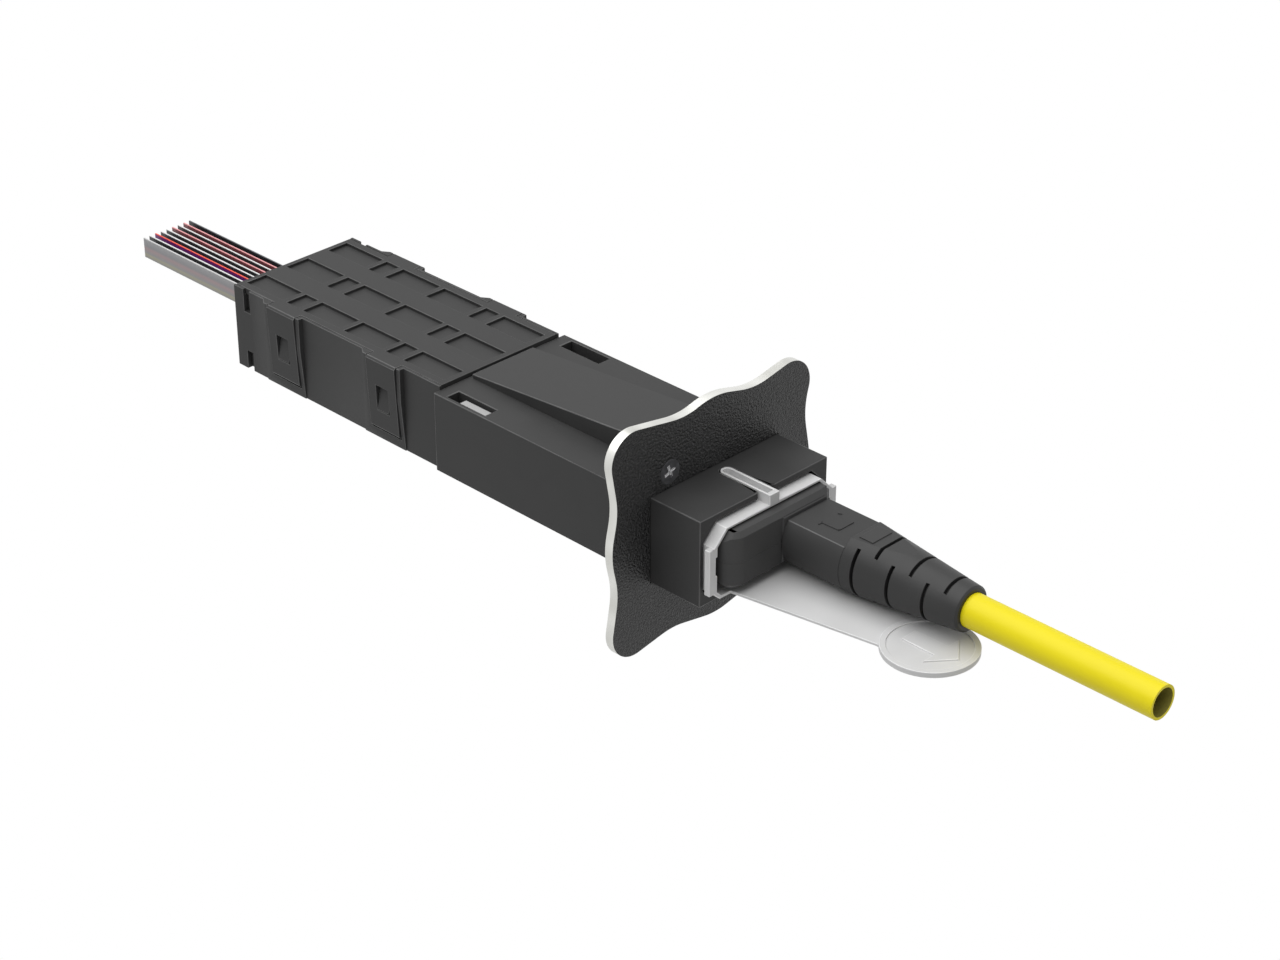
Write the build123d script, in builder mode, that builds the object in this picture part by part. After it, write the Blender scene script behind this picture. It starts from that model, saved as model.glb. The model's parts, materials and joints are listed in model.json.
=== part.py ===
# Expanded beam fibre connector: a panel receptacle with nine fibre ribbons and its mated cable plug.
# Millimetres. X is the mating axis, pointing out of the panel towards the cable. Y runs across the
# connector and Z is up. The origin is on the mating axis in the front face of the panel.
from math import cos, radians, sin
import os

from build123d import *

os.makedirs("parts", exist_ok=True)

# Clearances
sliding_gap = 0.25
seat_gap = 0.1
press_gap = 0.03

# Fibre ribbons and beam ferrules
ribbon_count = 9
ribbon_pitch = 1.366
ribbon_thickness = 0.3
ribbon_height = 4.07
ribbon_mid_z = -0.11
ribbon_free_length = 39.2
ferrule_thickness = 1.16
ferrule_height = 5.2
ferrule_body_length = 8.8
ferrule_tongue_length = 3.2
ferrule_socket_depth = 4.6
lens_window_height = 4.3
lens_window_depth = 0.12
lens_window_start = 0.7
lens_window_length = 1.6
ferrule_shoulder = 0.5
ferrule_lead_in = 0.15
mating_x = -21.0
stack_half_width = ((ribbon_count - 1) * ribbon_pitch + ferrule_thickness) / 2

# Panel section
panel_thickness = 1.7
panel_corner_radius = 5.0
panel_lobe_radius = 14.0
cutout_gap = 0.15

# Receptacle nose
nose_half_width = 15.0
nose_half_height = 7.96
nose_reach = 10.97
nose_side_wall = 0.77
nose_top_wall = 1.16
nose_bottom_wall = 1.3
key_slot_half_width = 1.35
key_slot_end_x = 1.3
key_slot_mouth = 0.6

# Receptacle rear body
body_half_width = 15.46
body_top_z = 7.69
body_bottom_z = -7.36
body_rear_x = -51.65
cavity_rear_x = -24.0
flange_thickness = 3.3
flange_half_width = 16.5
flange_half_height = 14.2
ramp_half_width = 7.16
ramp_rear_x = -51.0
ramp_rear_z = 8.46
ramp_front_z = 12.27

# Fastening to the panel
screw_y = 10.58
screw_z = 11.0
screw_radius = 1.25
screw_head_radius = 2.21
screw_recess_radius = 1.25
screw_recess_width = 0.5
screw_recess_depth = 0.6
screw_turn = 20
insert_radius = 1.9
insert_sides = 12
insert_length = 3.0

# Latch springs and the slots that show them
slot_front_x = -39.5
slot_rear_x = -49.06
slot_inner_y = 11.96
slot_outer_y = 14.75
slot_floor_z = -2.3
blind_slot_depth = 4.6
latch_pad_front_x = -40.4
latch_pad_rear_x = -46.7
latch_inner_y = 12.45
latch_outer_y = 13.9
latch_top_z = 7.0
latch_arm_half_height = 1.8
latch_tip_x = -15.4
latch_tip_bevel = 1.2
latch_gusset = 4.0
latch_foot_length = 2.0

# Ferrule carriers
bore_half_width = 11.2
bore_half_height = 6.0
shoulder_x = -27.0
boss_front_x = -23.5
boss_half_width = 9.3
boss_half_height = 4.3
carrier_length = 19.6
retainer_thickness = 3.0
retainer_side = 2.6
retainer_rise = 1.4

# Backshell
case_rear_x = -107.75
case_half_width = 14.1
case_top_z = 8.45
case_bottom_z = -7.8
case_rib_rise = 0.95
case_rib_foot_rise = 0.2
case_side_wall = 1.5
case_floor = 1.2
case_end_wall = 1.6
spigot_length = 5.0
spigot_wall = 1.2
rim_wall = 0.5
cover_thickness = 1.2
cover_groove = 0.12
cover_pocket_depth = 0.6
pocket_spans_x = (
    (-106.74, -96.40),
    (-95.28, -91.89),
    (-90.68, -80.53),
    (-79.40, -69.15),
    (-68.11, -64.69),
    (-63.46, -53.02),
)
pocket_spans_y = ((-11.9, -7.4), (-2.55, 2.55), (7.4, 11.9))
corner_slot_x = (-105.1, -103.4)
corner_slots_z = ((3.9, case_top_z), (case_bottom_z, -4.1))
corner_slot_depth = 1.0
rib_width = 1.05
rib_ramp = 1.4
case_rib_lean_z = 2.0
tab_centers_x = (-93.1, -65.8)
tab_width = 7.6
tab_rise = 1.3
tab_bottom_z = -5.7
tab_edge = 0.4
tab_end_draft = 0.55
tab_ledge_z = -5.95
catch_width = 2.9
catch_top_z = 3.1
catch_bottom_z = -1.6
catch_top_rise = 0.1
window_margin = 0.15
grommet_half_width = 7.2
grommet_half_height = 3.2
grommet_flange = 1.0
grommet_flange_length = 2.0

# Pull collar
collar_half_width = 13.98
collar_top_z = 6.27
collar_bottom_z = -6.37
collar_front_x = 13.16
collar_wall_side = 0.78
collar_wall_top = 0.42
collar_wall_bottom = 0.5
collar_corner_top = 2.8
collar_corner_low = 1.46
lip_thickness = 1.16
lip_half_width = 15.03
lip_bottom_z = -5.0
lip_top_z = 3.4
key_half_width = 1.15
key_top_z = 8.1
key_groove_half_width = 0.75
key_groove_depth = 0.35
key_groove_end = 1.0
tongue_root_half_width = 10.1
tongue_tip_half_width = 5.4
tongue_tip_x = 39.9
tongue_root_flare = 1.0
pad_x = 46.4
pad_radius = 8.0
pad_top_z = -5.6
pad_bottom_z = -6.6
pad_rim = 1.05
pad_floor_depth = 0.25
arrow_rear_x = 42.0
arrow_head_x = 48.6
arrow_tip_x = 52.2
arrow_half_width = 1.7
arrow_head_half_width = 4.4
lug_setback = 5.0
lug_length = 1.0
wall_groove_depth = 0.35
lug_depth = 1.3

# Plug shell
plug_half_width = 12.3
plug_top_z = 5.55
plug_bottom_z = -4.65
plug_back_x = 15.4
plug_wall = 1.0
plug_back_wall = 3.4
plug_parting_z = 0.2
plug_low_corner = 0.9
plug_top_corner = 1.6
plug_corner = 3.2
plug_edge = 0.8
plug_mouth_length = 5.0
plug_carrier_overhang = 1.0
head_rear_x = -13.0
head_front_x = -23.0
runner_y = 8.0
runner_width = 1.2
runner_setback = 6.0
catch_notch_depth = 0.8
catch_notch_length = 2.2
spring_pocket_rear_x = 2.0
spring_pocket_depth = 0.6
spring_height = 3.4
spring_strip = 0.2
spring_steps = 8

# Neck, crimp, boot and cable
cable_y = 5.4
cable_radius = 2.92
cable_bore_radius = 2.43
cable_end_x = 86.3
hub_near_y = -1.4
hub_far_y = 11.0
hub_front_x = 15.6
hub_slope = 1.1
neck_front_x = 27.7
neck_radius = 6.25
neck_half_height = 3.95
neck_edge = 0.3
spigot_half_width = 4.4
spigot_half_height = 3.0
spigot_flange_length = 1.6
crimp_bore_radius = 1.7
crimp_bore_wall = 0.7
crimp_head_length = 4.0
crimp_tail_end_x = 35.5
crimp_head_radius = 3.3
crimp_ring_thickness = 0.6
crimp_ring_sides = 6
crimp_ring_start_x = 29.3
crimp_ring_length = 5.2
boot_end_x = 50.0
boot_start_radius = 6.22
boot_end_radius = 3.95
boot_end_edge = 0.35
boot_flat_z = 5.1
boot_cut_width = 0.6
boot_cut_depth = 0.75
boot_cut_reach = 46
boot_cut_count = 6
boot_cut_start_x = 30.15
boot_cut_pitch = 3.345
boot_plate_x = (28.55, 31.45)
boot_plate_y = (3.0, 7.75)
boot_plate_rise = 0.15

# Places that follow from the sizes above
flange_front_x = -panel_thickness
flange_rear_x = flange_front_x - flange_thickness
cavity_half_width = nose_half_width - nose_side_wall
cavity_top_z = nose_half_height - nose_top_wall
cavity_bottom_z = nose_bottom_wall - nose_half_height
case_rib_y = case_half_width + case_rib_rise
tab_outer_y = case_half_width + tab_rise
ribbon_rear_x = case_rear_x - ribbon_free_length
ferrule_rear_x = mating_x - ferrule_tongue_length / 2 - ferrule_body_length
carrier_rear_x = shoulder_x - carrier_length
window_half_width = stack_half_width + seat_gap
window_half_height = ferrule_height / 2 + seat_gap
plug_cavity_half_width = plug_half_width - plug_wall
plug_cavity_top_z = plug_top_z - plug_wall
plug_cavity_bottom_z = plug_bottom_z + plug_wall
collar_rear_x = head_rear_x + sliding_gap
cover_half_width = case_half_width - rim_wall - cover_groove
cover_front_x = body_rear_x - cover_groove
cover_rear_x = case_rear_x + cover_groove
cover_bottom_z = case_top_z - cover_thickness
grommet_front_x = case_rear_x + case_end_wall + grommet_flange_length
boss_opening_half_width = boss_half_width + seat_gap
boss_opening_half_height = boss_half_height + seat_gap


def ribbon_y(index):
    """Place of one ribbon and its ferrule across the connector."""
    return (index - (ribbon_count - 1) / 2) * ribbon_pitch


def corner_outline(half_width, bottom, top, low_corner, top_corner):
    """Rectangle with its four corners cut off at 45 degrees, in the Y-Z plane."""
    return [
        (low_corner - half_width, bottom),
        (half_width - low_corner, bottom),
        (half_width, bottom + low_corner),
        (half_width, top - top_corner),
        (half_width - top_corner, top),
        (top_corner - half_width, top),
        (-half_width, top - top_corner),
        (-half_width, bottom + low_corner),
    ]


def box_between(x_range, y_range, z_range, mode=Mode.ADD):
    """Block between two corners, added to or cut from the sub-part in hand."""
    centre = (sum(x_range) / 2, sum(y_range) / 2, sum(z_range) / 2)
    with Locations(centre):
        Box(
            abs(x_range[1] - x_range[0]),
            abs(y_range[1] - y_range[0]),
            abs(z_range[1] - z_range[0]),
            mode=mode,
        )


def save(piece, name):
    """Label one finished sub-part and write it."""
    piece.part.label = name
    export_step(piece.part, f"parts/{name}.step")


# Panel section: a broken-out piece of plate. Its edge has four rounded corners, and between
# them a valley, a lobe and a valley on each side, listed from the top near corner
panel_edge = (
    (-24.9, 22.7),
    (-7.3, 19.6),
    (-0.3, 21.3),
    (9.0, 18.8),
    (24.6, 21.9),
    (21.3, 10.3),
    (23.2, 0.5),
    (21.8, -7.5),
    (24.6, -21.8),
    (9.3, -18.7),
    (0.5, -20.6),
    (-9.8, -18.7),
    (-24.8, -21.3),
    (-22.3, -7.0),
    (-24.0, 0.6),
    (-22.3, 8.2),
)
side_radii = [panel_corner_radius] + 3 * [panel_lobe_radius]
with BuildPart() as panel_section:
    with BuildSketch(Plane.YZ):
        with BuildLine():
            FilletPolyline(*panel_edge, radius=4 * side_radii, close=True)
        make_face()
        Rectangle(
            2 * (nose_half_width + cutout_gap),
            2 * (nose_half_height + cutout_gap),
            mode=Mode.SUBTRACT,
        )
    extrude(amount=-panel_thickness)
    with Locations(Plane.YZ):
        with Locations((-screw_y, screw_z), (screw_y, -screw_z)):
            CounterSinkHole(screw_radius + seat_gap, screw_head_radius + press_gap)
save(panel_section, "panel_section")

# Screws: flat countersunk heads with a cross recess, flush with the panel
screw_cone = screw_head_radius - screw_radius
with BuildPart() as panel_screws:
    with Locations(Plane.YZ):
        with Locations((-screw_y, screw_z), (screw_y, -screw_z)):
            Cylinder(
                screw_radius,
                -flange_rear_x,
                align=(Align.CENTER, Align.CENTER, Align.MAX),
            )
            Cone(
                screw_radius,
                screw_head_radius,
                screw_cone,
                align=(Align.CENTER, Align.CENTER, Align.MAX),
            )
    with BuildSketch(Plane.YZ):
        with Locations((-screw_y, screw_z), (screw_y, -screw_z)):
            Rectangle(2 * screw_recess_radius, screw_recess_width, rotation=screw_turn)
            Rectangle(screw_recess_width, 2 * screw_recess_radius, rotation=screw_turn)
    extrude(amount=-screw_recess_depth, mode=Mode.SUBTRACT)
save(panel_screws, "panel_screws")

# Threaded inserts in the flange, which take the screws
with BuildPart() as threaded_inserts:
    with BuildSketch(Plane.YZ.offset(flange_front_x)):
        with Locations((-screw_y, screw_z), (screw_y, -screw_z)):
            RegularPolygon(insert_radius, insert_sides)
            Circle(screw_radius + press_gap, mode=Mode.SUBTRACT)
    extrude(amount=-insert_length)
save(threaded_inserts, "threaded_inserts")

# Receptacle housing: nose, flange, ramps and rear body in one moulding
carrier_half_width = bore_half_width - seat_gap
ramp_outline = [
    (ramp_rear_x, 0),
    (flange_rear_x, 0),
    (flange_rear_x, ramp_front_z),
    (ramp_rear_x, ramp_rear_z),
]
with BuildPart() as receptacle_housing:
    with BuildSketch(Plane.YZ.offset(flange_rear_x)):
        Rectangle(2 * nose_half_width, 2 * nose_half_height)
    extrude(amount=nose_reach - flange_rear_x)
    box_between(
        (body_rear_x, flange_rear_x),
        (-body_half_width, body_half_width),
        (body_bottom_z, body_top_z),
    )
    with BuildSketch(Plane.YZ.offset(flange_rear_x)):
        RectangleRounded(2 * flange_half_width, 2 * flange_half_height, 2.0)
    extrude(amount=flange_thickness)
    with BuildSketch(Plane.XZ.offset(-ramp_half_width)):
        Polygon(*ramp_outline, align=None)
        Polygon(*[(x, -z) for x, z in ramp_outline], align=None)
    extrude(amount=2 * ramp_half_width)
    # Front cavity that the plug slides into
    with BuildSketch(Plane.YZ.offset(cavity_rear_x)):
        Polygon(
            *corner_outline(
                cavity_half_width,
                cavity_bottom_z,
                cavity_top_z,
                collar_corner_low + seat_gap,
                collar_corner_top + sliding_gap,
            ),
            align=None,
        )
    extrude(amount=nose_reach - cavity_rear_x, mode=Mode.SUBTRACT)
    # Rear bore for the ferrule carrier, with a shoulder that stops it
    box_between(
        (body_rear_x, shoulder_x),
        (-bore_half_width, bore_half_width),
        (-bore_half_height, bore_half_height),
        Mode.SUBTRACT,
    )
    box_between(
        (shoulder_x, cavity_rear_x),
        (-boss_opening_half_width, boss_opening_half_width),
        (-boss_opening_half_height, boss_opening_half_height),
        Mode.SUBTRACT,
    )
    # Slot in the nose for the collar's key rib, with a round end
    with BuildSketch(Plane.XY.offset(cavity_top_z)):
        with Locations((key_slot_end_x + key_slot_half_width, 0)):
            Circle(key_slot_half_width)
        with Locations((key_slot_end_x + key_slot_half_width, 0)):
            Rectangle(
                nose_reach,
                2 * key_slot_half_width,
                align=(Align.MIN, Align.CENTER),
            )
    extrude(amount=nose_top_wall, mode=Mode.SUBTRACT)
    nose_front_uprights = receptacle_housing.edges().filter_by(Axis.Z).group_by(Axis.X)[-1]
    fillet(nose_front_uprights.sort_by(lambda edge: abs(edge.center().Y))[:2], key_slot_mouth)
    # Slots over the latch springs: the near one opens upwards and the far one downwards. Each has
    # a blind slot opposite, and a channel that leads its spring forward
    for side, open_z, blind_z in (
        (-1, body_top_z, body_bottom_z),
        (1, body_bottom_z, body_top_z),
    ):
        up = 1 if open_z > blind_z else -1
        box_between(
            (slot_rear_x, slot_front_x),
            (side * slot_inner_y, side * slot_outer_y),
            (up * slot_floor_z, open_z),
            Mode.SUBTRACT,
        )
        box_between(
            (slot_rear_x, slot_front_x),
            (side * slot_inner_y, side * slot_outer_y),
            (blind_z, blind_z + up * blind_slot_depth),
            Mode.SUBTRACT,
        )
        box_between(
            (slot_front_x, cavity_rear_x),
            (side * (latch_inner_y - sliding_gap), side * (latch_outer_y + sliding_gap)),
            (slot_floor_z, -slot_floor_z),
            Mode.SUBTRACT,
        )
    # Seats of the threaded inserts
    with BuildSketch(Plane.YZ.offset(flange_front_x)):
        with Locations((-screw_y, screw_z), (screw_y, -screw_z)):
            RegularPolygon(insert_radius, insert_sides)
    extrude(amount=-insert_length, mode=Mode.SUBTRACT)
    with BuildSketch(Plane.YZ.offset(flange_front_x)):
        with Locations((-screw_y, screw_z), (screw_y, -screw_z)):
            Circle(screw_radius + press_gap)
    extrude(amount=-flange_thickness, mode=Mode.SUBTRACT)
save(receptacle_housing, "receptacle_housing")

# Latch springs: a pad on the slot floor and a long arm that reaches the plug's head
pad_gusset_x = latch_pad_front_x + latch_gusset
with BuildPart() as latch_spring_near:
    with BuildSketch(Plane.XZ.offset(latch_inner_y)):
        Polygon(
            (latch_pad_rear_x, slot_floor_z),
            (latch_pad_front_x, slot_floor_z),
            (latch_pad_front_x, -latch_arm_half_height),
            (latch_tip_x - latch_tip_bevel, -latch_arm_half_height),
            (latch_tip_x, -latch_arm_half_height / 2),
            (latch_tip_x, latch_arm_half_height / 2),
            (latch_tip_x - latch_tip_bevel, latch_arm_half_height),
            (pad_gusset_x, latch_arm_half_height),
            (latch_pad_front_x, latch_top_z),
            (latch_pad_rear_x, latch_top_z),
            align=None,
        )
    extrude(amount=latch_outer_y - latch_inner_y)
    box_between(
        (latch_pad_rear_x, latch_pad_rear_x + latch_foot_length),
        (-slot_outer_y, -slot_inner_y),
        (slot_floor_z, latch_arm_half_height),
    )
    # The arm passes under the slot's front wall
    box_between(
        (slot_front_x - seat_gap, pad_gusset_x),
        (-slot_outer_y, -slot_inner_y),
        (latch_arm_half_height, latch_top_z),
        Mode.SUBTRACT,
    )
save(latch_spring_near, "latch_spring_near")
with BuildPart() as latch_spring_far:
    with Locations(Rotation(180, 0, 0)):
        add(latch_spring_near.part)
save(latch_spring_far, "latch_spring_far")

# Backshell base: a tray with an end wall, ribs beside the snap tabs and a spigot into the receptacle
case_inner_y = case_half_width - case_side_wall
case_floor_z = case_bottom_z + case_floor
with BuildPart() as backshell_base:
    box_between(
        (case_rear_x, body_rear_x),
        (-case_half_width, case_half_width),
        (case_bottom_z, case_top_z),
    )
    # Ribs either side of each tab, closed below by a ledge. Their faces lean in towards the foot
    for tab_x in tab_centers_x:
        tab_rear_x = tab_x - tab_width / 2
        tab_front_x = tab_x + tab_width / 2
        for side in (-1, 1):
            with BuildSketch(Plane.XY.offset(case_bottom_z)):
                Polygon(
                    (tab_rear_x - rib_width - rib_ramp, side * case_half_width),
                    (tab_rear_x - rib_width, side * case_rib_y),
                    (tab_front_x + rib_width, side * case_rib_y),
                    (tab_front_x + rib_width, side * case_half_width),
                    align=None,
                )
            extrude(amount=case_top_z - case_bottom_z)
            with BuildSketch(Plane.YZ.offset(tab_rear_x - rib_width - rib_ramp)):
                Polygon(
                    (side * case_rib_y, case_rib_lean_z),
                    (side * (case_half_width + case_rib_foot_rise), case_bottom_z),
                    (side * (case_rib_y + tab_rise), case_bottom_z),
                    align=None,
                )
            extrude(amount=tab_width + 2 * rib_width + rib_ramp, mode=Mode.SUBTRACT)
            box_between(
                (tab_rear_x - window_margin, tab_front_x + window_margin),
                (side * case_half_width, side * (case_rib_y + tab_rise)),
                (tab_ledge_z, case_top_z),
                Mode.SUBTRACT,
            )
            # Notch in the rim where the tab comes over it
            box_between(
                (tab_rear_x - window_margin, tab_front_x + window_margin),
                (side * (cover_half_width - cover_groove), side * (case_half_width + tab_rise)),
                (cover_bottom_z, case_top_z),
                Mode.SUBTRACT,
            )
            # Wedge that the tab's window snaps over
            with BuildSketch(Plane.YZ.offset(tab_x - catch_width / 2)):
                Polygon(
                    (side * case_half_width, catch_top_z),
                    (side * case_half_width, catch_bottom_z),
                    (side * case_rib_y, catch_bottom_z),
                    (side * (case_half_width + catch_top_rise), catch_top_z),
                    align=None,
                )
            extrude(amount=catch_width)
    # Rebate for the cover, then the inside
    box_between(
        (case_rear_x, body_rear_x),
        (-cover_half_width - cover_groove, cover_half_width + cover_groove),
        (cover_bottom_z, case_top_z),
        Mode.SUBTRACT,
    )
    box_between(
        (case_rear_x + case_end_wall, body_rear_x - case_end_wall),
        (-case_inner_y, case_inner_y),
        (case_floor_z, case_top_z),
        Mode.SUBTRACT,
    )
    # Spigot that plugs into the receptacle's bore, open for the ribbons
    box_between(
        (body_rear_x - case_end_wall, body_rear_x + spigot_length),
        (-bore_half_width + seat_gap, bore_half_width - seat_gap),
        (-bore_half_height + seat_gap, bore_half_height - seat_gap),
    )
    box_between(
        (body_rear_x - case_end_wall, body_rear_x + spigot_length),
        (-bore_half_width + seat_gap + spigot_wall, bore_half_width - seat_gap - spigot_wall),
        (-bore_half_height + seat_gap + spigot_wall, bore_half_height - seat_gap - spigot_wall),
        Mode.SUBTRACT,
    )
    # Opening in the rear wall for the ribbon grommet
    box_between(
        (case_rear_x, case_rear_x + case_end_wall),
        (-grommet_half_width, grommet_half_width),
        (-grommet_half_height, grommet_half_height),
        Mode.SUBTRACT,
    )
    # Slots and notches at the rear corners
    for side in (-1, 1):
        for z_range in corner_slots_z:
            box_between(
                corner_slot_x,
                (side * (case_half_width - corner_slot_depth), side * case_half_width),
                z_range,
                Mode.SUBTRACT,
            )
save(backshell_base, "backshell_base")

# Backshell cover: a flat lid with pockets and four snap tabs
tab_root_y = cover_half_width - case_side_wall
with BuildPart() as backshell_cover:
    box_between(
        (cover_rear_x, cover_front_x),
        (-cover_half_width, cover_half_width),
        (cover_bottom_z, case_top_z),
    )
    for pocket_x in pocket_spans_x:
        for pocket_y in pocket_spans_y:
            box_between(
                pocket_x,
                pocket_y,
                (case_top_z - cover_pocket_depth, case_top_z),
                Mode.SUBTRACT,
            )
    for tab_x in tab_centers_x:
        for side in (-1, 1):
            with BuildSketch(Plane.YZ.offset(tab_x - tab_width / 2)):
                Polygon(
                    (side * tab_root_y, cover_bottom_z),
                    (side * (case_half_width + seat_gap), cover_bottom_z),
                    (side * (case_half_width + seat_gap), tab_bottom_z),
                    (side * (tab_outer_y - tab_end_draft - tab_edge), tab_bottom_z),
                    (side * (tab_outer_y - tab_end_draft), tab_bottom_z + tab_edge),
                    (side * tab_outer_y, cover_bottom_z),
                    (side * tab_outer_y, case_top_z - tab_edge),
                    (side * (tab_outer_y - tab_edge), case_top_z),
                    (side * tab_root_y, case_top_z),
                    align=None,
                )
            extrude(amount=tab_width)
            box_between(
                (tab_x - catch_width / 2 - window_margin, tab_x + catch_width / 2 + window_margin),
                (side * case_half_width, side * (case_half_width + 2 * tab_rise)),
                (catch_bottom_z - window_margin, catch_top_z + window_margin),
                Mode.SUBTRACT,
            )
save(backshell_cover, "backshell_cover")

# Grommet that seals the nine ribbons in the case's rear wall
with BuildPart() as ribbon_grommet:
    box_between(
        (case_rear_x, case_rear_x + case_end_wall),
        (-grommet_half_width, grommet_half_width),
        (-grommet_half_height, grommet_half_height),
    )
    box_between(
        (case_rear_x + case_end_wall, grommet_front_x),
        (-grommet_half_width - grommet_flange, grommet_half_width + grommet_flange),
        (-grommet_half_height - grommet_flange, grommet_half_height + grommet_flange),
    )
    for index in range(ribbon_count):
        box_between(
            (case_rear_x, grommet_front_x),
            (
                ribbon_y(index) - ribbon_thickness / 2 - press_gap,
                ribbon_y(index) + ribbon_thickness / 2 + press_gap,
            ),
            (
                ribbon_mid_z - ribbon_height / 2 - press_gap,
                ribbon_mid_z + ribbon_height / 2 + press_gap,
            ),
            Mode.SUBTRACT,
        )
save(ribbon_grommet, "ribbon_grommet")


def beam_ferrule(facing, y):
    """Ferrule that looks along facing (+1 or -1) on X, with a half-thick tongue and a lens window."""
    half = ferrule_thickness / 2
    root_x = mating_x - facing * ferrule_tongue_length / 2
    back_x = root_x - facing * ferrule_body_length
    tip_x = root_x + facing * (ferrule_tongue_length - seat_gap)
    joint_y = y - facing * seat_gap / 2
    with BuildPart() as ferrule:
        with BuildSketch(Plane.XY.offset(-ferrule_height / 2)):
            Polygon(
                (back_x, y - facing * half),
                (back_x, y + facing * half),
                (root_x - facing * ferrule_shoulder, y + facing * half),
                (root_x, joint_y),
                (tip_x, joint_y),
                (tip_x, y - facing * (half - ferrule_lead_in)),
                (tip_x - facing * ferrule_shoulder, y - facing * half),
                align=None,
            )
        extrude(amount=ferrule_height)
        box_between(
            (back_x, back_x + facing * ferrule_socket_depth),
            (
                y - ribbon_thickness / 2 - press_gap,
                y + ribbon_thickness / 2 + press_gap,
            ),
            (
                ribbon_mid_z - ribbon_height / 2 - press_gap,
                ribbon_mid_z + ribbon_height / 2 + press_gap,
            ),
            Mode.SUBTRACT,
        )
        box_between(
            (
                root_x + facing * lens_window_start,
                root_x + facing * (lens_window_start + lens_window_length),
            ),
            (joint_y - facing * lens_window_depth, y + facing * half),
            (-lens_window_height / 2, lens_window_height / 2),
            Mode.SUBTRACT,
        )
    return ferrule


# Ribbons with their ferrules, and the plug's ferrules that meet them
for index in range(ribbon_count):
    y = ribbon_y(index)
    with BuildPart() as ribbon:
        box_between(
            (ribbon_rear_x, ferrule_rear_x + ferrule_socket_depth - seat_gap),
            (y - ribbon_thickness / 2, y + ribbon_thickness / 2),
            (ribbon_mid_z - ribbon_height / 2, ribbon_mid_z + ribbon_height / 2),
        )
    save(ribbon, f"ribbon_{index + 1}")
    save(beam_ferrule(1, y), f"receptacle_ferrule_{index + 1}")
    save(beam_ferrule(-1, y), f"plug_ferrule_{index + 1}")

# Carrier that holds the receptacle's ferrules against the housing's shoulder
with BuildPart() as receptacle_ferrule_carrier:
    box_between(
        (carrier_rear_x, shoulder_x),
        (-carrier_half_width, carrier_half_width),
        (-bore_half_height + seat_gap, bore_half_height - seat_gap),
    )
    box_between(
        (shoulder_x, boss_front_x),
        (-boss_half_width, boss_half_width),
        (-boss_half_height, boss_half_height),
    )
    box_between(
        (carrier_rear_x, boss_front_x),
        (-window_half_width, window_half_width),
        (-window_half_height, window_half_height),
        Mode.SUBTRACT,
    )
    box_between(
        (carrier_rear_x, ferrule_rear_x),
        (-window_half_width - retainer_side, window_half_width + retainer_side),
        (-window_half_height - retainer_rise, window_half_height + retainer_rise),
        Mode.SUBTRACT,
    )
save(receptacle_ferrule_carrier, "receptacle_ferrule_carrier")


def retainer(front_x, facing):
    """Comb plate behind a stack of ferrules, with a slot for each ribbon."""
    with BuildPart() as comb:
        box_between(
            (front_x, front_x - facing * retainer_thickness),
            (-window_half_width - retainer_side, window_half_width + retainer_side),
            (-window_half_height - retainer_rise, window_half_height + retainer_rise),
        )
        for index in range(ribbon_count):
            box_between(
                (front_x, front_x - facing * retainer_thickness),
                (
                    ribbon_y(index) - ribbon_thickness / 2 - press_gap,
                    ribbon_y(index) + ribbon_thickness / 2 + press_gap,
                ),
                (
                    ribbon_mid_z - ribbon_height / 2 - press_gap,
                    ribbon_mid_z + ribbon_height / 2 + press_gap,
                ),
                Mode.SUBTRACT,
            )
    return comb


save(retainer(ferrule_rear_x, 1), "receptacle_ferrule_retainer")

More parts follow.
